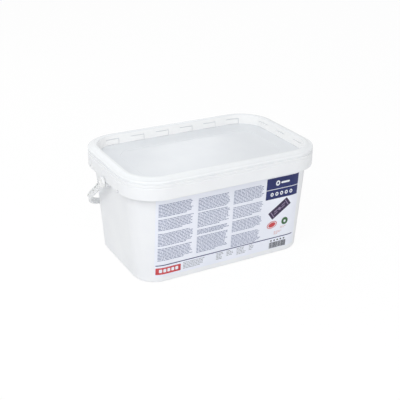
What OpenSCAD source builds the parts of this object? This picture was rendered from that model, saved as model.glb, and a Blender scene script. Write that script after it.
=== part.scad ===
// Rectangular plastic tub with a press-on lid, a swing-over carry handle and a front label.
// Millimetres. X runs along the long side, the labelled front faces -Y, the foot stands on Z = 0.

/* [Overall size] */
// Length over the lid and the collar
rim_l = 396; // [320:2:480]
// Width over the lid and the collar
rim_w = 263; // [220:1:340]
// Height from the foot to the crest of the lid
total_h = 212; // [160:1:260]
// Plan corner radius of the lid edge
rim_r = 69; // [62:1:85]

/* [Tub] */
// Step from the lid edge in to the body wall, under the collar
wall_inset = 12; // [10:0.5:16]
// How much further the wall draws in by the foot
taper = 12.5; // [6:0.5:15]
// Wall thickness
wall_t = 1.8; // [1.4:0.1:2.4]
// Floor thickness
floor_t = 2.2; // [1.6:0.1:4]
// Height of the foot ring under the floor
foot_h = 3; // [1:0.5:6]
// Rounding of the bottom edge
edge_r = 5; // [3:0.5:8]
// Height of the collar skirt
collar_h = 29; // [24:1:40]
// Thickness of the collar skirt
collar_t = 1.8; // [1.4:0.1:2.4]
// Stiffening ribs under the collar on each long side
long_ribs = 6; // [2:1:12]
// Width of the small notches in the lower edge of the collar
notch_d = 5; // [3:0.5:8]

/* [Lid] */
// Moulded thickness of the lid
lid_t = 1.8; // [1.4:0.1:2.2]
// Depth of the stacking recess below the crest
recess_d = 19; // [14:0.5:24]
// Width of the flat on top of the crest
crest_w = 5; // [3:0.5:6]
// Step from the lid edge in to the foot of the recess wall
recess_inset = 19.5; // [18:0.5:21]
// Length of each raised snap pad on the recess wall
pad_w = 27; // [16:1:32]
// How far the snap pads stand out of the recess wall
pad_d = 1.6; // [0.8:0.1:2]
// Height of the snap pads above the recess floor
pad_h = 9.6; // [7:0.1:11]
// Pitch of the snap pads along the long sides
pad_pitch = 53.6; // [40:0.1:56]
// Pitch of the snap pads along the short sides
pad_pitch_short = 60; // [44:1:64]
// Width of the ledge round the sunk centre panel
ledge_w = 37; // [20:1:50]
// Depth of the sunk centre panel
panel_d = 0.8; // [0.4:0.1:1]

/* [Carry handle] */
// Reach from the pivot to the middle of the grip bar
reach = 152; // [148:1:190]
// Radius of the bends, on the middle of the bar
bend_r = 72; // [60:1:84]
// Width of the bar, across the swing plane
bar_w = 12; // [8:0.5:13]
// Thickness of the bar
bar_t = 5; // [4:0.5:8]
// Thickness of the flanges and ribs of the bar
flange_t = 1.8; // [1.2:0.1:2.5]
// Length of the plain grip
grip_l = 112; // [80:2:150]
// Diameter of the pivot hubs
hub_d = 20; // [16:1:24]
// Diameter of the pivot pins
pin_d = 8; // [6:0.5:10]

/* [Front label] */
// Length of the label
label_l = 300; // [200:2:330]
// Height of the lower edge of the label
label_z = 12; // [10:1:60]
// Height of the label
label_h = 156; // [80:1:158]
// Thickness of the label film
label_t = 0.3; // [0.2:0.05:0.5]

/* [Fits] */
// Radial clearance of each pin in its socket
pin_gap = 0.3; // [0.2:0.05:0.6]
// Side clearance between the handle and the collar
side_gap = 1; // [0.3:0.1:1.5]
// Clearance between the hanging handle and the back wall
rest_gap = 0.5; // [0.3:0.1:2]
// Clearance between the snap ring of the lid and the lip of the tub
snap_gap = 0.6; // [0.3:0.1:1]

/* [Hidden] */
$fn = 96;

cx = rim_l / 2 - rim_r;           // corner centres, the same for every section
cy = rim_w / 2 - rim_r;
seat_z = total_h - 10;            // the lid edge rests here on the collar
collar_z = seat_z - collar_h;     // lower edge of the collar
web_t = 2.2;
web_z = seat_z - web_t;
foot_r = rim_r - wall_inset - taper;
lip_w = 1.5;                      // outward bead on the lip of the tub
lip_z = seat_z + 5;

recess_z = total_h - recess_d;
recess_r = rim_r - recess_inset;
lean = 2;                         // lean of the recess wall, foot to crest
crest_r = recess_r + lean + 1;
shoulder_z = total_h - 3.8;
pad_z = recess_z + pad_h;
pad_ramp = 8;                     // length of the ramp at one end of each pad
pad_over = 8;                     // how far the middle of a pad may stand into a corner
pads_long = floor(2 * (cx + pad_over) / pad_pitch) + 1;
pads_short = floor(2 * (cy + pad_over) / pad_pitch_short) + 1;
slit_w = 1.4;                     // narrow slits over and beside each pad
slit_d = 1.2;

pivot_z = collar_z - 3;
boss_d = hub_d;
arm_x = rim_l / 2 + side_gap;     // inner face of the handle arms
bend_x = arm_x + bar_t / 2 - bend_r;   // centres of the bends
straight = reach - bend_r;             // length of the arms
groove_d = bar_t - flange_t;
rib_pitch = 16;

// wall radius from the corner centres, on the outside of the wall
function wall_r(z) = foot_r + taper * z / collar_z;

// angle below level at which the grip comes to lie against the back wall, with a gap
draft = atan(taper / collar_z);
grip_in = reach - bar_t / 2;
function rest_angle(gap) =
    draft + acos(((cy + wall_r(pivot_z)) * cos(draft) + gap) / norm([grip_in, bar_w / 2]))
    - atan(bar_w / 2 / grip_in);

// the bends come nearer to the round corners of the wall than the grip to its flat
function bend_loss(a, level) =
    let (in_r = bend_r - bar_t / 2, r = wall_r(pivot_z - reach * sin(level)),
         dx = max(0, cx + r * cos(a) - arm_x - bar_t / 2 + bend_r))
    in_r - sqrt(max(0, in_r ^ 2 - dx ^ 2)) - r * (1 - sin(a)) / cos(level);
level = rest_angle(rest_gap);
hang = rest_angle(rest_gap + cos(level - draft) * max([for (a = [50:5:90]) bend_loss(a, level)]));

// recess wall radius, on the inside of the lid
function recess_wall_r(z) = recess_r + lean * (z - recess_z) / recess_d;

// points on a quarter circle from angle a0 to a1
function arc(x, y, r, a0, a1, n = 5) =
    [for (i = [0:n]) let (a = a0 + (a1 - a0) * i / n) [x + r * cos(a), y + r * sin(a)]];

// carries a radius-height section round the rectangle with rounded corners
module sweep(points) {
    for (k = [0:3]) {
        translate([(k == 0 || k == 3 ? cx : -cx), (k < 2 ? cy : -cy), 0]) rotate([0, 0, 90 * k]) {
            rotate_extrude(angle = 90) polygon(points);
            rotate([90, 0, 0]) linear_extrude(height = k % 2 == 0 ? 2 * cy : 2 * cx)
                polygon(points);
        }
    }
}

// block over the rectangle between the corner centres
module core(z0, z1) {
    translate([-cx, -cy, z0]) cube([2 * cx, 2 * cy, z1 - z0]);
}

// flat plate with round corners, centred on the axis
module plate(l, w, r, h) {
    linear_extrude(height = h) {
        square([l - 2 * r, w], center = true);
        square([l, w - 2 * r], center = true);
        for (x = [-1, 1], y = [-1, 1]) translate([x * (l / 2 - r), y * (w / 2 - r)]) circle(r);
    }
}

// round bar along X from the middle out to both short sides
module cross_pins(r, x0, x1, y, z) {
    for (s = [-1, 1])
        translate([s * x0, y, z]) rotate([0, s * 90, 0]) cylinder(r = r, h = x1 - x0);
}

module tub_section() {
    floor_z = foot_h + floor_t;
    sweep(concat(
        [[0, floor_z], [0, foot_h], [foot_r - edge_r - 4.2, foot_h], [foot_r - edge_r - 3.4, 0]],
        arc(wall_r(edge_r) - edge_r, edge_r, edge_r, -90, 0),
        [[wall_r(web_z), web_z], [rim_r - collar_t, web_z], [rim_r - collar_t, collar_z]],
        arc(rim_r - 1.2, collar_z + 1.2, 1.2, -90, 0, 3),
        [[rim_r, seat_z - 6.8], [rim_r - 0.7, seat_z - 6.3], [rim_r - 0.7, seat_z - 5.7]],
        [[rim_r, seat_z - 5.2]],
        arc(rim_r - 0.8, seat_z - 0.8, 0.8, 0, 90, 3),
        [[wall_r(seat_z), seat_z], [wall_r(seat_z) + lip_w, lip_z - 2.4]],
        arc(wall_r(seat_z) + lip_w - 1, lip_z - 1, 1, 0, 90, 3),
        [[wall_r(seat_z) - wall_t + 0.6, lip_z], [wall_r(seat_z) - wall_t, lip_z - 0.6]],
        [[wall_r(floor_z + 3) - wall_t, floor_z + 3]],
        [[wall_r(floor_z) - wall_t - 1, floor_z + 0.8], [wall_r(floor_z) - wall_t - 3, floor_z]]
    ));
    core(foot_h, floor_z);
}

// webs that tie the collar skirt to the wall
module collar_ribs() {
    r0 = wall_r(collar_z) + 0.4;
    r1 = rim_r - 1;
    for (s = [0, 1]) rotate([0, 0, 180 * s]) {
        for (i = [0:long_ribs - 1])
            translate([(i - (long_ribs - 1) / 2) * 2 * cx / long_ribs - 0.8, cy + r0, collar_z + 8])
                cube([1.6, r1 - r0, web_z - collar_z - 7]);
        for (y = [-42, 42])
            translate([cx + r0, y - 0.8, collar_z + 8])
                cube([r1 - r0, 1.6, web_z - collar_z - 7]);
    }
}

module tub() {
    boss_in = cx + wall_r(pivot_z) - 0.9;
    color("white") difference() {
        union() {
            tub_section();
            collar_ribs();
            cross_pins(boss_d / 2, boss_in, rim_l / 2, 0, pivot_z);
        }
        // blind sockets for the handle pins
        cross_pins(pin_d / 2 + pin_gap, boss_in + 2, rim_l / 2 + 1, 0, pivot_z);
        // notches where the straight collar meets each corner
        for (y = [-cy, cy])
            cross_pins(notch_d / 2, rim_l / 2 - collar_t - 2, rim_l / 2 + 1, y, collar_z + 1);
        // gate dimple under the floor
        translate([0, 0, foot_h - 1]) cylinder(d = 18, h = 1.6);
    }
}

module lid_section() {
    inner = wall_r(seat_z) + lip_w + snap_gap;   // inside of the snap ring
    rim_z = shoulder_z - lid_t;
    sweep(concat(
        [[0, recess_z], [0, recess_z - lid_t], [recess_r + 1.4, recess_z - lid_t]],
        [[recess_wall_r(recess_z) + 2.3, recess_z - 0.9]],
        [[recess_wall_r(total_h - 3) + 2.3, total_h - 3], [crest_r + 1.4, total_h - lid_t]],
        [[crest_r + crest_w - 0.6, total_h - lid_t], [inner, rim_z + 0.8]],
        [[inner, seat_z + 1.8], [inner + 1.4, seat_z + 1.8], [inner + 1.4, rim_z]],
        [[rim_r - 3.6, rim_z - 0.2], [rim_r - 2.9, rim_z - 0.9], [rim_r - 2.9, seat_z]],
        [[rim_r - 1.2, seat_z], [rim_r - 1.1, seat_z + 2.2], [rim_r, seat_z + 3.4]],
        arc(rim_r - 2, shoulder_z - 2, 2, 0, 80, 4),
        [[rim_r - 5, shoulder_z + 0.4], [rim_r - 6.4, shoulder_z + 0.9]],
        arc(crest_r + crest_w - 0.8, total_h - 1.6, 1.6, 50, 90, 2),
        arc(crest_r + 0.4, total_h - 1.4, 1.4, 90, 175, 4),
        [[recess_r, recess_z]]
    ));
    core(recess_z - lid_t, recess_z);
}

// puts its children on the foot of the recess wall, +Y out and leaning with it, at x from the
// middle of a side with half lengths a along and b across
module at_wall(a, b, x) {
    over = sign(x) * max(0, abs(x) - a);
    translate([x - over, b, 0]) rotate([0, 0, -asin(over / recess_r)])
        translate([0, recess_r, recess_z]) rotate([-atan(lean / recess_d), 0, 0]) children();
}

// distances of the copies in a row from its middle
function row(n, pitch) = [for (i = [0:n - 1]) (i - (n - 1) / 2) * pitch];

// repeats its children at every snap pad, a distance along from the middle of the pad
module each_pad(along) {
    for (s = [0, 1]) rotate([0, 0, 180 * s]) {
        for (x = row(pads_long, pad_pitch)) at_wall(cx, cy, x + along) children();
        rotate([0, 0, -90]) mirror([1, 0, 0])
            for (y = row(pads_short, pad_pitch_short)) at_wall(cy, cx, y + along) children();
    }
}

// part of a band on the recess wall that lies within the pads
module pad_band(from, to, z0, z1) {
    intersection() {
        sweep([[recess_wall_r(z0) + from, z0], [recess_wall_r(z0) + to, z0],
               [recess_wall_r(z1) + to, z1], [recess_wall_r(z1) + from, z1]]);
        each_pad(0) translate([-pad_w / 2, -8, -3]) cube([pad_w, 16, pad_h + 8]);
    }
}

// raised pads over the snap lugs, each with a ramp at one end
module snap_pads() {
    difference() {
        pad_band(-pad_d, 1, recess_z - 0.7, pad_z + 0.5);
        each_pad(-pad_w / 2) translate([0, 0, -3]) linear_extrude(height = pad_h + 6)
            polygon([[-4, -0.5], [0.2, -0.5], [pad_ramp, -pad_d - 0.2], [pad_ramp, -pad_d - 4],
                     [-4, -pad_d - 4]]);
    }
}

// narrow slits that cut off the pads along the top and at their square ends
module pad_slits() {
    pad_band(-pad_d - 1, slit_d, pad_z, pad_z + slit_w);
    each_pad(pad_w / 2) translate([-0.5, -pad_d - 1, 0.5])
        cube([slit_w, pad_d + 1 + slit_d, pad_h + slit_w / 2]);
}

module lid() {
    panel_l = 2 * (cx + recess_r - ledge_w + 4);
    panel_w = 2 * (cy + recess_r - ledge_w - 4);
    color("white") difference() {
        union() {
            lid_section();
            snap_pads();
        }
        pad_slits();
        translate([0, 0, recess_z - panel_d]) plate(panel_l, panel_w, 30, panel_d + 1);
    }
}

// outline of an arch, from the pivot line to the far edge
module arch(half_w, far, r) {
    translate([-half_w, 0]) square([2 * half_w, far - r]);
    translate([r - half_w, 0]) square([2 * (half_w - r), far]);
    intersection() {
        for (s = [-1, 1]) translate([s * (half_w - r), far - r]) circle(r);
        translate([-half_w, 0]) square([2 * half_w, far]);
    }
}

// band along the bar, between two depths below its outer face
module bar_band(from, to, w) {
    linear_extrude(height = w, center = true) difference() {
        arch(arm_x + bar_t - from, reach + bar_t / 2 - from, bend_r + bar_t / 2 - from);
        translate([0, -1]) arch(arm_x + bar_t - to, reach + 1 + bar_t / 2 - to,
                                bend_r + bar_t / 2 - to);
    }
}

// one rib across the groove, its inner end at the origin and its length along Y
module groove_rib() {
    translate([-flange_t / 2, 0.3, -bar_w / 2 + 0.4]) cube([flange_t, bar_t - 0.7, bar_w - 0.8]);
}

// ribs along the straight arms and round the bends
module groove_ribs() {
    for (s = [-1, 1]) {
        for (y = [hub_d / 2 + 5:rib_pitch:straight - 4])
            translate([s * arm_x, y, 0]) rotate([0, 0, -90 * s]) groove_rib();
        for (a = [0:11.25:78])
            translate([s * bend_x, straight, 0])
                rotate([0, 0, s * (a - 90)]) translate([0, bend_r - bar_t / 2, 0]) groove_rib();
    }
    for (x = [-1, 1], k = [0, 1])
        translate([x * (grip_l / 2 + 12 + k * rib_pitch * 1.3), reach - bar_t / 2, 0]) groove_rib();
}

// the whole bail, lying level with its pivot at the origin
module bail() {
    difference() {
        union() {
            bar_band(groove_d, bar_t, bar_w);
            for (s = [-1, 1]) translate([0, 0, s * (bar_w - flange_t) / 2])
                bar_band(0, bar_t, flange_t);
            groove_ribs();
            translate([-grip_l / 2, reach - bar_t / 2, -bar_w / 2]) cube([grip_l, bar_t, bar_w]);
            cross_pins(hub_d / 2, arm_x, arm_x + bar_t, 0, 0);
            cross_pins(pin_d / 2, arm_x - rim_r + wall_r(pivot_z) + 2.2, arm_x + 1, 0, 0);
        }
        // dished outer face of the hubs
        cross_pins(hub_d / 2 - 4, arm_x + bar_t - 1, arm_x + bar_t + 1, 0, 0);
    }
}

// lengths of the bail on both sides, hung at rest, between two places along X and along Y
module lengths_of_bail(x0, x1, y0, y1) {
    color("whitesmoke") translate([0, 0, pivot_z]) rotate([-hang, 0, 0]) intersection() {
        bail();
        for (s = [0, 1]) mirror([s, 0, 0]) translate([x0, y0, -hub_d]) cube([x1 - x0, y1 - y0, 2 * hub_d]);
    }
}

// the bail is one moulding, modelled in lengths that meet square where its bends begin and end
module carry_handle() {
    lengths_of_bail(-1, bend_x, straight, reach + bar_t);
}

module handle_bends() {
    lengths_of_bail(bend_x, arm_x + 2 * bar_t, straight, reach + bar_t);
}

module handle_arms() {
    lengths_of_bail(bend_x, arm_x + 2 * bar_t, -hub_d, straight);
}

module front_label() {
    top = label_z + label_h;
    color("aliceblue") intersection() {
        sweep([[wall_r(label_z), label_z], [wall_r(label_z) + label_t, label_z],
               [wall_r(top) + label_t, top], [wall_r(top), top]]);
        translate([-label_l / 2, -rim_w / 2, 0]) cube([label_l, rim_w / 2, total_h]);
    }
}

tub();
lid();
carry_handle();
handle_bends();
handle_arms();
front_label();
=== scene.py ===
import math
import random

import bmesh
import bpy
from mathutils import Matrix, Vector


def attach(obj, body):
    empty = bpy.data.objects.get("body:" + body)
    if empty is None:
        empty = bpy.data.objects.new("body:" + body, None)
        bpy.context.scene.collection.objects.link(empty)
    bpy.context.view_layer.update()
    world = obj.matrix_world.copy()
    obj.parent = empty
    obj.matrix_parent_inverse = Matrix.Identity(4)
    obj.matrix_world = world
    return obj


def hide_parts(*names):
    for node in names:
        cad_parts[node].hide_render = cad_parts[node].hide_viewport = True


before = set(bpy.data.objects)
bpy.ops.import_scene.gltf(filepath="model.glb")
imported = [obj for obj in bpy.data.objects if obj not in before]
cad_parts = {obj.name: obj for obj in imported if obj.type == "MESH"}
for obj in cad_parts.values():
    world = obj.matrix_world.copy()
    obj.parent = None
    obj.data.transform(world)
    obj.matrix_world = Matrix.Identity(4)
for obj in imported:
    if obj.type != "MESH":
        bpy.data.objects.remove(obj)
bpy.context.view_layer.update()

# Camera. It stands in front of the labelled side, a little to the left, and looks down on the lid.

az, el, roll = (math.radians(a) for a in (-28.741, 24.167, 0.572))
back = Vector((math.sin(az) * math.cos(el), -math.cos(az) * math.cos(el), math.sin(el)))
right = Vector((math.cos(az), math.sin(az), 0))
up = back.cross(right)
across = right * math.cos(roll) + up * math.sin(roll)
above = up * math.cos(roll) - right * math.sin(roll)
lens = bpy.data.cameras.new("camera")
lens.lens, lens.sensor_width, lens.clip_end = 71.3, 36, 30
lens.shift_x, lens.shift_y = -0.0008, -0.0127
camera = bpy.data.objects.new("camera", lens)
camera.matrix_world = (Matrix.Translation(Vector((0, 0, 0.1031)) + back * 1.5376)
                       @ Matrix((across, above, back)).transposed().to_4x4())
bpy.context.scene.collection.objects.link(camera)
bpy.context.scene.camera = camera


# Tub. One injection moulding in white polypropylene: a foot ring, a body that tapers to the foot, a
# collar skirt with a bead and a parting groove, ribs behind the skirt and a boss for each handle pin.
# Every section of tub and lid keeps to the same four corner centres. Lengths are in millimetres.

CORNER_X, CORNER_Y = 129, 62.5
RIM, FOOT = 69, 44.5                # from the corner centres to the collar and to the wall at the foot
FLARE = 12.5                        # how far the wall leans out from the foot to the collar
COLLAR, SEAT, LIP = 173, 202, 207   # heights of the skirt's lower edge, the lid's seat and the lip
PIVOT = 170                         # height of the handle's pins
TUB_WALL, FLOOR_TOP, FOOT_RING = 1.8, 5.2, 3
NOTCH, NOTCH_R = 64.5, 3.9115       # from the middle of a short side to a notch, and its radius
HUB_R, PIN_R, SOCKET_R = 10, 4, 4.3


def wall_at(z):
    """Outside of the wall at a height, measured from the corner centres."""
    return FOOT + FLARE * z / COLLAR


def only(geometry, kind):
    return [g for g in geometry if isinstance(g, kind)]


def section(bm, points, close=False):
    """Draws a section in the XZ plane from (distance, height, rounding) and rounds its corners."""
    verts = [bm.verts.new((x, 0, z)) for x, z, r in points]
    for a, b in zip(verts, verts[1:] + verts[:1] if close else verts[1:]):
        bm.edges.new((a, b))
    for v, (x, z, r) in zip(verts, points):
        if r:
            a, b = (e.other_vert(v).co - v.co for e in v.link_edges)
            turn = math.pi - a.angle(b)
            bmesh.ops.bevel(bm, geom=[v], offset=r * math.tan(turn / 2), profile=0.5, material=-1,
                            segments=max(2, round(turn / 0.27)), affect="VERTICES", clamp_overlap=True)
    return bm.verts[:] + bm.edges[:]


def draw_along(bm, geometry, step):
    """Draws a section out in a straight line."""
    made = bmesh.ops.extrude_edge_only(bm, edges=only(geometry, bmesh.types.BMEdge))["geom"]
    verts = only(made, bmesh.types.BMVert)
    bmesh.ops.translate(bm, vec=step, verts=verts)
    moved = set(verts)
    return verts + [e for e in only(made, bmesh.types.BMEdge) if moved.issuperset(e.verts)]


def carry_round(bm, points, half_x=CORNER_X, half_y=CORNER_Y):
    """Takes a section round the four corners and along the four sides, back to where it began."""
    geometry = section(bm, points)
    bmesh.ops.translate(bm, vec=(half_x, half_y, 0), verts=bm.verts)
    corners = [(half_x, half_y), (-half_x, half_y), (-half_x, -half_y), (half_x, -half_y)]
    for k, (x, y) in enumerate(corners):
        geometry = bmesh.ops.spin(bm, geom=geometry, cent=(x, y, 0), axis=(0, 0, 1), dvec=(0, 0, 0),
                                  angle=math.pi / 2, steps=24, use_merge=False,
                                  use_duplicate=False)["geom_last"]
        nx, ny = corners[(k + 1) % 4]
        geometry = draw_along(bm, geometry, (nx - x, ny - y, 0))
    bmesh.ops.remove_doubles(bm, verts=bm.verts, dist=0.001)


def close_over(bm, height):
    """Closes the open loop of edges at a height with a flat face, and a narrow flat ring round it."""
    edges = [e for e in bm.edges if e.is_boundary and all(abs(v.co.z - height) < 0.01 for v in e.verts)]
    face = bmesh.ops.edgeloop_fill(bm, edges=edges)["faces"]
    bmesh.ops.inset_region(bm, faces=face, thickness=1, use_even_offset=True)


def cut_across(bm, faces, place, normal):
    """Cuts some faces where a plane crosses them."""
    bmesh.ops.bisect_plane(bm, geom=faces + list({e for f in faces for e in f.edges})
                           + list({v for f in faces for v in f.verts}), plane_co=place, plane_no=normal)


def block(bm, size, place, edge=0.3):
    """Adds a block with softened edges."""
    verts = bmesh.ops.create_cube(bm, size=1)["verts"]
    bmesh.ops.scale(bm, vec=size, verts=verts)
    edges = list({e for v in verts for e in v.link_edges})
    faces = bmesh.ops.bevel(bm, geom=edges, offset=edge, segments=2, profile=0.5, affect="EDGES",
                            material=-1)["faces"]
    seen, fresh = set(faces), list(faces)
    while fresh:
        fresh = list({g for f in fresh for e in f.edges for g in e.link_faces if g not in seen})
        seen.update(fresh)
    bmesh.ops.transform(bm, matrix=place, verts=list({v for f in seen for v in f.verts}))


def add_made(bm, part):
    """Adds a separately made mesh to a piece."""
    mesh = bpy.data.meshes.new("part")
    part.to_mesh(mesh)
    part.free()
    bm.from_mesh(mesh)
    bpy.data.meshes.remove(mesh)


def turn_up(bm, points, place):
    """Turns a round piece from (radius, height, rounding) points, as on a lathe."""
    part = bmesh.new()
    bmesh.ops.spin(part, geom=section(part, points), cent=(0, 0, 0), axis=(0, 0, 1), dvec=(0, 0, 0),
                   angle=2 * math.pi, steps=48, use_merge=True, use_duplicate=False)
    bmesh.ops.remove_doubles(part, verts=part.verts, dist=0.001)
    bmesh.ops.transform(part, matrix=place, verts=part.verts)
    add_made(bm, part)


def notch_collar(bm):
    """Small round notches in the skirt's lower edge, where the short sides run into the corners."""
    for sx in (-1, 1):
        for sy in (-1, 1):
            for d in (-4.2, -3.9, -3, -1.5, 0, 1.5, 3, 3.9, 4.2):
                low = [f for f in bm.faces if f.calc_center_median().x * sx > 190
                       and any(COLLAR - 0.1 < v.co.z < COLLAR + 1.4 for v in f.verts)]
                cut_across(bm, low, (0, sy * NOTCH + d, 0), (0, 1, 0))
            for v in bm.verts:
                off = v.co.y - sy * NOTCH
                if v.co.x * sx > 190 and abs(off) < 4 and COLLAR - 0.1 < v.co.z < COLLAR + 1.3:
                    v.co.z = COLLAR + 3 + math.sqrt(max(0.0, NOTCH_R ** 2 - off ** 2))


def linear(text):
    """sRGB hex text to linear colour."""
    parts = [int(text[i:i + 2], 16) / 255 for i in (0, 2, 4)]
    return (*(c / 12.92 if c <= 0.04045 else ((c + 0.055) / 1.055) ** 2.4 for c in parts), 1)


def node(tree, kind, sockets, **settings):
    """Adds a node. A socket is given another node's output to link, or else its value."""
    made = tree.nodes.new(kind)
    for name, value in settings.items():
        setattr(made, name, value)
    for name, value in sockets.items():
        if isinstance(value, bpy.types.NodeSocket):
            tree.links.new(value, made.inputs[name])
        else:
            made.inputs[name].default_value = value
    return made


def polypropylene(name, pale, shade, gloss, grain=0.02, flow=16, glow=0.05):
    """Injection-moulded polypropylene. It is slightly milky, so light spreads a little in the thick
    pieces. Slow clouds stand for flow marks some 60 mm across. The gloss is even, and where the mould
    is eroded it gives a grain near 1 mm, which is coarser than the real 0.2 mm so that it shows."""
    finish = bpy.data.materials.new(name)
    finish.use_nodes = True
    tree = finish.node_tree
    skin = tree.nodes["Principled BSDF"]
    place = node(tree, "ShaderNodeTexCoord", {}).outputs["Object"]
    clouds = node(tree, "ShaderNodeTexNoise", {"Vector": place, "Scale": flow, "Detail": 3.0})
    spread = node(tree, "ShaderNodeMapRange", {"Value": clouds.outputs["Fac"], "From Min": 0.32,
                                               "From Max": 0.68})
    tint = node(tree, "ShaderNodeMix", {0: spread.outputs["Result"], 6: linear(shade), 7: linear(pale)},
                data_type="RGBA")
    tree.links.new(tint.outputs[2], skin.inputs["Base Color"])
    skin.inputs["Roughness"].default_value = gloss
    if grain:
        pits = node(tree, "ShaderNodeTexNoise", {"Vector": place, "Scale": 1000.0, "Detail": 2.0})
        relief = node(tree, "ShaderNodeBump", {"Height": pits.outputs["Fac"], "Strength": 0.4,
                                               "Distance": grain * 0.001})
        tree.links.new(relief.outputs["Normal"], skin.inputs["Normal"])
    skin.inputs["IOR"].default_value = 1.49
    if glow:
        skin.inputs["Subsurface Weight"].default_value = glow
        skin.inputs["Subsurface Radius"].default_value = (0.006, 0.006, 0.005)
        skin.inputs["Subsurface Scale"].default_value = 0.4
    return finish


def piece(bm, name, finish, body, replaces=(), sharp=38, weigh=True):
    """Turns a finished mesh in millimetres into a piece that rides on a body."""
    bmesh.ops.remove_doubles(bm, verts=bm.verts, dist=0.0005)
    bmesh.ops.recalc_face_normals(bm, faces=bm.faces)
    bmesh.ops.scale(bm, vec=(0.001, 0.001, 0.001), verts=bm.verts)
    mesh = bpy.data.meshes.new(name)
    bm.to_mesh(mesh)
    bm.free()
    mesh.shade_smooth()
    mesh.set_sharp_from_angle(angle=math.radians(sharp))
    mesh.materials.append(finish)
    made = bpy.data.objects.new(name, mesh)
    bpy.context.scene.collection.objects.link(made)
    if weigh:
        weighted = made.modifiers.new("weighted", "WEIGHTED_NORMAL")
        weighted.keep_sharp = True
        weighted.weight = 60
    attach(made, body)
    if replaces:
        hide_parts(*replaces)
    return made


tub = bmesh.new()
carry_round(tub, [
    (36, FLOOR_TOP, 0), (wall_at(FLOOR_TOP) - 2.2, FLOOR_TOP, 4), (wall_at(10) - TUB_WALL, 10, 0),
    (wall_at(SEAT) - TUB_WALL, SEAT + 3, 0), (wall_at(SEAT) - 1.6, LIP, 0.7),
    (wall_at(SEAT) + 1.5, LIP, 1),
    (wall_at(SEAT) + 1.5, LIP - 2.4, 0.6), (wall_at(SEAT), SEAT, 0.4), (RIM, SEAT, 0.9),
    (RIM, SEAT - 5, 0.4), (RIM - 0.75, SEAT - 5.6, 0), (RIM - 0.75, SEAT - 6.4, 0),
    (RIM, SEAT - 7, 0.4), (RIM, COLLAR, 1.2), (RIM - 1.8, COLLAR, 0.5),
    (RIM - 1.8, SEAT - 2.2, 0.8), (wall_at(SEAT - 2.2), SEAT - 2.2, 0.8), (wall_at(0), 0, 5),
    (36.2, 0, 0.8), (35.4, FOOT_RING, 0.5), (30, FOOT_RING, 0)])
close_over(tub, FLOOR_TOP)
close_over(tub, FOOT_RING)
notch_collar(tub)
depth = RIM - 1 - wall_at(COLLAR) - 0.4     # of the ribs behind the skirt
out = wall_at(COLLAR) + 0.4 + depth / 2
thick, tall, middle_z = 1.6, 19, 190.5
for s in (-1, 1):
    for i in range(6):
        block(tub, (thick, depth, tall),
              Matrix.Translation(((i - 2.5) * 43, s * (CORNER_Y + out), middle_z)))
    for y in (-42, 42):
        block(tub, (depth, thick, tall), Matrix.Translation((s * (CORNER_X + out), y, middle_z)))
    turn_up(tub, [(HUB_R, 0, 0), (HUB_R, 13, 0.5), (SOCKET_R + 0.3, 13, 0.5), (SOCKET_R, 3, 0.3),
                  (0, 3, 0)],
            Matrix.Translation((s * (CORNER_X + wall_at(PIVOT) - 1), 0, PIVOT))
            @ Matrix.Rotation(s * math.pi / 2, 4, "Y"))
piece(tub, "tub_shell", polypropylene("polypropylene_tub", "f0f2f4", "eceef1", 0.4), "tub_body",
      ["tub"])


# Lid. One moulding in the same white polypropylene, glossier than the tub: a sunk centre panel, a
# ledge, a leaning recess wall with raised snap pads, a round crest and a skirt that sits on the collar.

TOP, RECESS = 212, 193              # heights of the crest and of the ledge
LID_WALL, SUNK = 1.8, 0.8           # thickness, and depth of the centre panel
PAD_TOP, SLIT_TOP = 202.6, 204
PAD_HALF, PAD_OUT, PAD_RAMP = 13.5, 1.6, 8
PAD_PITCH, PAD_PITCH_SHORT = 53.6, 60
SLIT, SLIT_DEEP, EDGE = 1.4, 1.5, 0.25
PAINTED_LIGHT_ON_WALL, PAINTED_SHADE_ON_PANEL = 1, 2            # material slots inside the recess, for the wall's painted light and the panel's painted shade, and 0 is the rim


def recess_at(z):
    """Inside of the recess wall at a height, measured from the corner centres."""
    return 49.5 + 2 * (z - RECESS) / (TOP - RECESS)


def outward(co):
    """Direction and distance of a point from the line through the corner centres."""
    flat = Vector((math.copysign(max(0, abs(co.x) - CORNER_X), co.x),
                   math.copysign(max(0, abs(co.y) - CORNER_Y), co.y), 0))
    return flat.normalized(), flat.length


def wall_faces(bm, along, side):
    """Faces of the recess wall on one side of the lid, for pads that stand along X (0) or Y (1)."""
    found = []
    for f in bm.faces:
        mid = f.calc_center_median()
        n, r = outward(mid)
        if (RECESS < mid.z < SLIT_TOP + 2 and -2 < r - recess_at(mid.z) < 0.3
                and n[1 - along] * side > 0.6):
            found.append(f)
    return found


def within(bm, along, side, a, b, low, high):
    """Those of them between two places along the wall and two heights."""
    return [f for f in wall_faces(bm, along, side)
            if min(a, b) < f.calc_center_median()[along] < max(a, b)
            and low < f.calc_center_median().z < high]


def snap_pads(bm, along, centres, side, ramp):
    """Raises the pads of one side, with a ramp at one end, and sinks a slit over and past each."""
    for c in centres:
        far, square = c + ramp * PAD_HALF, c - ramp * PAD_HALF
        normal = Vector((0, 0, 0))
        normal[along] = 1
        for at in (far, far - ramp * PAD_RAMP, square, square - ramp * SLIT):
            cut_across(bm, wall_faces(bm, along, side), normal * at, normal)
        slits = (within(bm, along, side, far, square, PAD_TOP, SLIT_TOP)
                 + within(bm, along, side, square, square - ramp * SLIT, RECESS + 0.5, SLIT_TOP))
        bmesh.ops.inset_region(bm, faces=slits, thickness=EDGE, depth=-SLIT_DEEP, use_even_offset=True,
                               use_boundary=True)
        pad = within(bm, along, side, far, square, RECESS, PAD_TOP)
        bmesh.ops.inset_region(bm, faces=pad, thickness=EDGE, depth=PAD_OUT, use_even_offset=True,
                               use_boundary=True)
        for v in {v for f in pad for v in f.verts}:
            slope = max(0, 1 - abs(v.co[along] - far) / PAD_RAMP)
            v.co += outward(v.co)[0] * slope * 1.25


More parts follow.
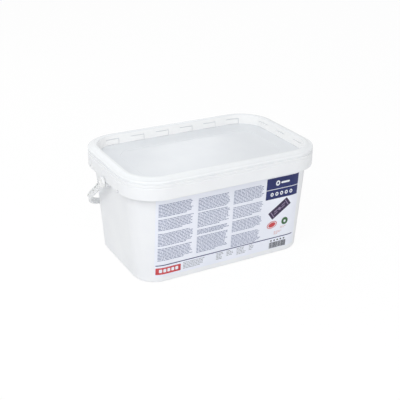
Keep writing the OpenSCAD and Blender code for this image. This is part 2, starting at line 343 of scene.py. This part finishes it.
lid = bmesh.new()
carry_round(lid, [
    (47.5, RECESS, 0), (recess_at(RECESS), RECESS, 0), (recess_at(RECESS + 0.5), RECESS + 0.5, 0),
    (recess_at(PAD_TOP), PAD_TOP, 0), (recess_at(SLIT_TOP), SLIT_TOP, 0),
    (recess_at(206), 206, 0), (51.6, TOP, 1.6), (57.2, TOP, 1.8),
    (62.8, SEAT + 6.9, 6), (RIM - 0.1, SEAT + 6.2, 2), (RIM, SEAT + 3.2, 0.8),
    (RIM - 0.7, SEAT + 2, 0.5), (RIM - 0.8, SEAT + 0.1, 0.3), (RIM - 2.9, SEAT + 0.1, 0.3),
    (RIM - 2.9, SEAT + 4.3, 0.8), (62.6, SEAT + 4.4, 0.4), (62.6, SEAT + 1.8, 0.4),
    (61.2, SEAT + 1.8, 0.4), (61.2, SEAT + 5.2, 0.4), (56.9, TOP - LID_WALL, 0.8),
    (53.9, TOP - LID_WALL, 0.8), (51.9, RECESS - 0.6, 1.2), (50.8, RECESS - LID_WALL, 0.8),
    (40, RECESS - LID_WALL, 0)])
close_over(lid, RECESS - LID_WALL)
panel = bmesh.new()
carry_round(panel, [(20, RECESS - SUNK, 0), (29.2, RECESS - SUNK, 0.8), (30.1, RECESS, 0.8),
                    (31, RECESS, 0)], 115.5, 41)
close_over(panel, RECESS - SUNK)
add_made(lid, panel)
ledge = [e for e in lid.edges if e.is_boundary and all(abs(v.co.z - RECESS) < 0.01 for v in e.verts)]
bmesh.ops.bridge_loops(lid, edges=ledge)
bmesh.ops.recalc_face_normals(lid, faces=lid.faces)
for s in (1, -1):
    snap_pads(lid, 0, [(i - 2.5) * PAD_PITCH for i in range(6)], s, -s)
    snap_pads(lid, 1, [(i - 1) * PAD_PITCH_SHORT for i in range(3)], s, -s)
# the wall faces take the slot with painted light, and the panel faces the slot with painted shade
for f in lid.faces:
    mid = f.calc_center_median()
    if mid.z < TOP - 1.5 and outward(mid)[1] < recess_at(mid.z) + 0.2:
        f.material_index = PAINTED_LIGHT_ON_WALL if mid.z > RECESS + 0.1 else PAINTED_SHADE_ON_PANEL
rim_plastic = polypropylene("polypropylene_lid", "f1f4f6", "eef1f4", 0.26, grain=0, glow=0)
# painted light: the wall and the pads are coloured lighter than the rim, to stand for the light that
# falls on them
wall_painted_light_plastic = polypropylene("polypropylene_lid_wall_painted_light", "fbfbfb", "f8f9f9", 0.3, grain=0, glow=0)
# painted shade: the centre panel is coloured greyer and cooler than the rim, to stand for the shade on
# it
panel_painted_shade_plastic = polypropylene("polypropylene_lid_panel_painted_shade", "e6eaee", "e2e6eb", 0.26, grain=0, glow=0)
cover = piece(lid, "lid_shell", rim_plastic, "lid_body", ["lid"])
cover.data.materials.append(wall_painted_light_plastic)
cover.data.materials.append(panel_painted_shade_plastic)


# Carry handle. One slim moulding in white polypropylene: an open channel with cross ribs, a plain
# grip, dished hubs, and a pin on each hub that snaps into the boss of the tub.

HANG = 38.85                        # degrees below level, where the grip rests on the back wall
ARM, REACH, BEND = 199, 152, 72     # inner face of the arms, middle of the grip, middle of the bends
THICK, WIDE, FLANGE, GRIP = 5, 12, 1.8, 112

handle = bmesh.new()
half = WIDE / 2
inner = half - FLANGE
channel = section(handle, [(0, -half, 0.9), (THICK, -half, 0.6), (THICK, -inner, 0.5),
                           (FLANGE, -inner, 0.7), (FLANGE, inner, 0.7), (THICK, inner, 0.5),
                           (THICK, half, 0.6), (0, half, 0.9)], close=True)
bmesh.ops.scale(handle, vec=(-1, 1, 1), verts=handle.verts)
bmesh.ops.translate(handle, vec=(-ARM, 0, 0), verts=handle.verts)
bmesh.ops.edgeloop_fill(handle, edges=only(channel, bmesh.types.BMEdge))
straight, middle = REACH - BEND, ARM + THICK / 2 - BEND
channel = draw_along(handle, channel, (0, straight, 0))
for x, run in ((-middle, (2 * middle, 0, 0)), (middle, (0, -straight, 0))):
    channel = bmesh.ops.spin(handle, geom=channel, cent=(x, straight, 0), axis=(0, 0, 1),
                             dvec=(0, 0, 0), angle=-math.pi / 2, steps=32, use_merge=False,
                             use_duplicate=False)["geom_last"]
    channel = draw_along(handle, channel, run)
bmesh.ops.edgeloop_fill(handle, edges=only(channel, bmesh.types.BMEdge))


def cross_rib(bm, x, y, turn):
    """A rib across the channel, its foot on the inner face of the bar."""
    block(bm, (FLANGE, THICK - 0.7, WIDE - 0.8), Matrix.Translation((x, y, 0))
          @ Matrix.Rotation(turn, 4, "Z") @ Matrix.Translation((0, 0.3 + (THICK - 0.7) / 2, 0)), 0.25)


for s in (-1, 1):
    for y in (15, 31, 47, 63):
        cross_rib(handle, s * ARM, y, -s * math.pi / 2)
    for k in range(7):
        a = math.radians(11.25 * k)
        cross_rib(handle, s * (middle + math.cos(a) * (BEND - THICK / 2)),
                  straight + math.sin(a) * (BEND - THICK / 2), s * (a - math.pi / 2))
    for x in (68, 88.8):
        cross_rib(handle, s * x, REACH - THICK / 2, 0)
    turn_up(handle, [(0, 4, 0), (6, 4, 0.5), (6.6, THICK, 0.4), (HUB_R, THICK, 0.7), (HUB_R, -0.1, 0.5),
                     (PIN_R, -0.1, 0.4), (PIN_R, -9.9, 0.6), (0, -9.9, 0)],
            Matrix.Translation((s * ARM, 0, 0)) @ Matrix.Rotation(s * math.pi / 2, 4, "Y"))
block(handle, (GRIP, THICK + 0.1, WIDE + 0.1), Matrix.Translation((0, REACH, 0)), 0.8)
bmesh.ops.transform(handle, verts=handle.verts, matrix=Matrix.Translation((0, 0, PIVOT))
                    @ Matrix.Rotation(-math.radians(HANG), 4, "X"))
piece(handle, "handle_bail", polypropylene("polypropylene_handle", "f0f1f2", "eaeced", 0.38),
      "handle_body", ["carry_handle", "handle_bends", "handle_arms"])


# Label. A thin printed polypropylene film that is laid in the mould and bonds to the front wall and a
# little way round both corners. It is smoother and cooler in tint than the tub.

LABEL_X, LABEL_LOW, LABEL_HIGH, FILM = 150, 12, 168, 0.3

label = bmesh.new()
carry_round(label, [(wall_at(z) + FILM, z, 0) for z in (LABEL_LOW, LABEL_HIGH)])
for co, no in (((LABEL_X, 0, 0), (1, 0, 0)), ((-LABEL_X, 0, 0), (-1, 0, 0)), ((0, -60, 0), (0, 1, 0))):
    bmesh.ops.bisect_plane(label, geom=label.verts[:] + label.edges[:] + label.faces[:], plane_co=co,
                           plane_no=no, clear_outer=True)
bmesh.ops.recalc_face_normals(label, faces=label.faces)
bmesh.ops.solidify(label, geom=label.faces[:], thickness=0.24)
piece(label, "label_sheet", polypropylene("label_film", "eef1fb", "e9edf7", 0.32, grain=0.006, glow=0),
      "tub_body", ["front_label"])


# Print on the label. Flat fields of ink, drawn on the plane of the front and laid on the film: three
# columns of ragged dashes in place of small print, plain fields of colour and plain shapes.

def field(bm, x0, x1, z0, z1, turn=0, corner=0):
    """A rectangle of ink on the plane of the front, turned about its middle."""
    place = (Matrix.Translation(((x0 + x1) / 2, 0, (z0 + z1) / 2)) @ Matrix.Rotation(-turn, 4, "Y")
             @ Matrix.Diagonal((x1 - x0, 1, z1 - z0, 1)) @ Matrix.Rotation(math.pi / 2, 4, "X"))
    verts = bmesh.ops.create_grid(bm, x_segments=1, y_segments=1, size=0.5, matrix=place)["verts"]
    if corner:
        bmesh.ops.bevel(bm, geom=verts, offset=corner, segments=4, profile=0.5, affect="VERTICES",
                        material=-1)


def disc(bm, x, z, half_x, half_z, turn=0):
    """A round or oval spot of ink."""
    place = (Matrix.Translation((x, 0, z)) @ Matrix.Rotation(-turn, 4, "Y")
             @ Matrix.Diagonal((half_x, 1, half_z, 1)) @ Matrix.Rotation(math.pi / 2, 4, "X"))
    bmesh.ops.create_circle(bm, cap_ends=True, segments=32, radius=1, matrix=place)


def dashes(bm, rows, x0, x1, top, pitch, height, seed, word=(2.5, 8.5)):
    """Rows of short dashes of uneven length, with a ragged right edge."""
    chance = random.Random(seed)
    for k in range(rows):
        short = chance.uniform(0, 8) if k < rows - 1 else (x1 - x0) * chance.uniform(0.1, 0.5)
        x, end = x0, x1 - short
        while x < end - 1:
            w = min(chance.uniform(*word), end - x)
            field(bm, x, x + w, top - k * pitch - height, top - k * pitch)
            x += w + 0.9


def lay_on_film(bm, name, ink, lift):
    """Bends a drawing round the front wall, just proud of the film."""
    for x in [s * v for v in (129, 132, 135, 138, 141, 144, 147) for s in (-1, 1)]:
        bmesh.ops.bisect_plane(bm, geom=bm.verts[:] + bm.edges[:] + bm.faces[:], plane_co=(x, 0, 0),
                               plane_no=(1, 0, 0))
    for v in bm.verts:
        r = wall_at(v.co.z) + FILM + lift
        v.co.y = -(CORNER_Y + math.sqrt(r * r - max(0, abs(v.co.x) - CORNER_X) ** 2))
    piece(bm, name, ink, "tub_body", weigh=False)


def ink(name, full, thin):
    """Screen ink on film. It lies even and slightly glossy, and a little thinner in places."""
    return polypropylene(name, full, thin, 0.38, grain=0.004, flow=40, glow=0)


slate, navy = ink("ink_slate", "5f6b91", "6a769b"), ink("ink_navy", "0d1b5c", "142366")
plum, grey = ink("ink_plum", "2c2042", "38294b"), ink("ink_grey", "7b8087", "868b92")
red, green = ink("ink_red", "c03a40", "cb484d"), ink("ink_green", "2f5f34", "3a693d")
white, black = ink("ink_white", "eef2f8", "e6ebf3"), ink("ink_black", "3f4249", "4a4d54")
lilac, rose = ink("ink_lilac", "8f7f9e", "9a8aa8"), ink("ink_rose", "cf9c9c", "d8a8a7")

small = bmesh.new()
BLOCKS = [(-145, -76, ((160, 134.4), (130.4, 106.9), (101.8, 75.1), (71.4, 44.3))),
          (-68, -2, ((156.8, 130.7), (128, 97), (93.2, 82.7), (78.9, 43.8))),
          (5, 69.7, ((156.9, 128.2), (122.8, 97.3), (93.7, 69.5), (64, 37.5)))]
for n, (x0, x1, blocks) in enumerate(BLOCKS):
    for m, (high, low) in enumerate(blocks):
        count = round((high - low) / 3)
        dashes(small, count, x0, x1, high, (high - low) / count, 1.32, 10 * n + m)
lay_on_film(small, "print_small", slate, 0.06)

head = bmesh.new()
field(head, 74.5, 146, 142.6, 166)
field(head, 74.5, 146, 122, 141.4)
field(head, -148, 144, 35.2, 37.1)
lay_on_film(head, "print_header", navy, 0.06)

marks, holes = bmesh.new(), bmesh.new()
field(marks, 106, 125, 152, 156, corner=1.9)
for x, z, half in ((99, 154, 5.4), (88, 131.7, 4), (98.5, 131.7, 4), (109, 131.7, 4), (119.5, 131.7, 4),
                   (130, 131.7, 4)):
    disc(marks, x, z, half * 0.85, half)
    disc(holes, x, z, half * 0.36, half * 0.46)
disc(marks, 94, 66, 9.9, 6.2, 0.25)
disc(marks, 122.6, 68.6, 2.4, 2.8)
for x in (-142, -134, -126, -118, -110):
    field(marks, x, x + 5.8, 20.8, 27.8, corner=1.4)
lay_on_film(marks, "print_marks", white, 0.12)
lay_on_film(holes, "print_mark_holes", navy, 0.18)

pack = bmesh.new()
field(pack, 84, 132, 89.5, 107.5, 0.62, 1.2)
lay_on_film(pack, "print_pack", plum, 0.06)
seal = bmesh.new()
for d in (-18.5, 18.5):
    x, z = 108 + d * 0.814, 98.5 + d * 0.581
    field(seal, x - 0.9, x + 0.9, z - 7, z + 7, 0.62)
for d in (-9.5, 9.5):
    x, z = 108 + d * 0.814, 98.5 + d * 0.581
    field(seal, x - 4.5, x + 4.5, z - 3.4, z - 1.6, 0.62)
    field(seal, x - 4.5, x + 4.5, z + 1.6, z + 3.4, 0.62)
disc(seal, 108, 98.5, 3.2, 3.2)
lay_on_film(seal, "print_pack_marks", lilac, 0.12)

spot, core = bmesh.new(), bmesh.new()
disc(spot, 94, 66, 11.4, 7.5, 0.25)
field(spot, -148, -99, 17, 31, corner=1.5)
lay_on_film(spot, "print_red", red, 0.06)
disc(core, 94, 66, 8.2, 4.9, 0.25)
lay_on_film(core, "print_red_core", red, 0.18)
leaf = bmesh.new()
disc(leaf, 122.6, 69, 7.2, 7.9)
lay_on_film(leaf, "print_green", green, 0.06)

faint = bmesh.new()
dashes(faint, 2, 114, 131, 58.5, 2.4, 1, 71, (2, 5))
dashes(faint, 3, 100, 118, 50, 2.6, 1.1, 72, (2, 5))
lay_on_film(faint, "print_faint", rose, 0.06)

foot_print = bmesh.new()
for n, (x0, x1, top, rows) in enumerate(((-94, -46, 32, 5), (-25, -8, 33, 5), (-3, 14, 33, 4),
                                         (19, 41, 33, 5), (46, 60, 33, 4))):
    dashes(foot_print, rows, x0, x1, top, 3.1, 1.2, 50 + n, (2, 6))
lay_on_film(foot_print, "print_foot", grey, 0.06)

code = bmesh.new()
chance = random.Random(3)
x = 92.0
while x < 128:
    w = chance.choice((0.9, 1.3, 2))
    field(code, x, x + w, 13.5, 26.5)
    x += w + chance.choice((0.5, 0.6, 0.8))
for k in range(5):
    field(code, 94 + k * 7.2, 97.6 + k * 7.2, 28.6, 31.6)
lay_on_film(code, "print_code", black, 0.06)


# Floor. A plain white table. Seen straight it is almost pure white, and it keeps the soft shadow.

sheet = bmesh.new()
bmesh.ops.create_grid(sheet, x_segments=1, y_segments=1, size=4,
                      matrix=Matrix.Translation((0, 0, -0.0004)))
table = bpy.data.meshes.new("floor")
sheet.to_mesh(table)
sheet.free()
floor = bpy.data.objects.new("floor", table)
paper = bpy.data.materials.new("floor_white")
paper.use_nodes = True
matt = paper.node_tree.nodes["Principled BSDF"]
matt.inputs["Base Color"].default_value = linear("f4f4f4")
matt.inputs["Roughness"].default_value = 0.9
seen = node(paper.node_tree, "ShaderNodeLightPath", {}).outputs["Is Camera Ray"]
share = node(paper.node_tree, "ShaderNodeMath", {0: seen, 1: 0.9}, operation="MULTIPLY")
plain = node(paper.node_tree, "ShaderNodeEmission", {"Strength": 1.02})
both = node(paper.node_tree, "ShaderNodeMixShader", {0: share.outputs[0], 1: matt.outputs[0],
                                                     2: plain.outputs[0]})
paper.node_tree.links.new(both.outputs[0], paper.node_tree.nodes["Material Output"].inputs["Surface"])
table.materials.append(paper)
bpy.context.scene.collection.objects.link(floor)


# Light. A white studio all round, with a large soft lamp high on the left, weaker ones in front and
# behind, and a small one that the glossy lid mirrors.

world = bpy.data.worlds.new("studio")
bpy.context.scene.world = world
world.use_nodes = True
fill = world.node_tree.nodes["Background"]
fill.inputs["Color"].default_value = (1, 1, 1, 1)
fill.inputs["Strength"].default_value = 0.66
path = node(world.node_tree, "ShaderNodeLightPath", {})
straight_on = node(world.node_tree, "ShaderNodeMath", {0: path.outputs["Is Camera Ray"],
                                                       1: path.outputs["Is Glossy Ray"]},
                   operation="MAXIMUM")
bright = node(world.node_tree, "ShaderNodeBackground", {"Color": (1, 1, 1, 1), "Strength": 1.0})
sky = node(world.node_tree, "ShaderNodeMixShader", {0: straight_on.outputs[0], 1: fill.outputs[0],
                                                    2: bright.outputs[0]})
world.node_tree.links.new(sky.outputs[0], world.node_tree.nodes["World Output"].inputs["Surface"])
LAMPS = (("key", (-1.2, -0.62, 1.3), 0.9, 8.9), ("front", (0, -1.9, 0.75), 1.0, 5.7),
         ("behind", (-0.3, 1.3, 1.3), 1.2, 2.6), ("sheen", (1.1, 2.16, 1.09), 0.35, 0.55))
for name, at, size, power in LAMPS:
    lamp = bpy.data.lights.new(name, "AREA")
    lamp.size, lamp.energy = size, power
    light = bpy.data.objects.new(name, lamp)
    light.location = at
    light.rotation_euler = (Vector((0, 0, 0.12)) - Vector(at)).to_track_quat("-Z", "Y").to_euler()
    bpy.context.scene.collection.objects.link(light)

bpy.context.scene.view_settings.view_transform = "Standard"
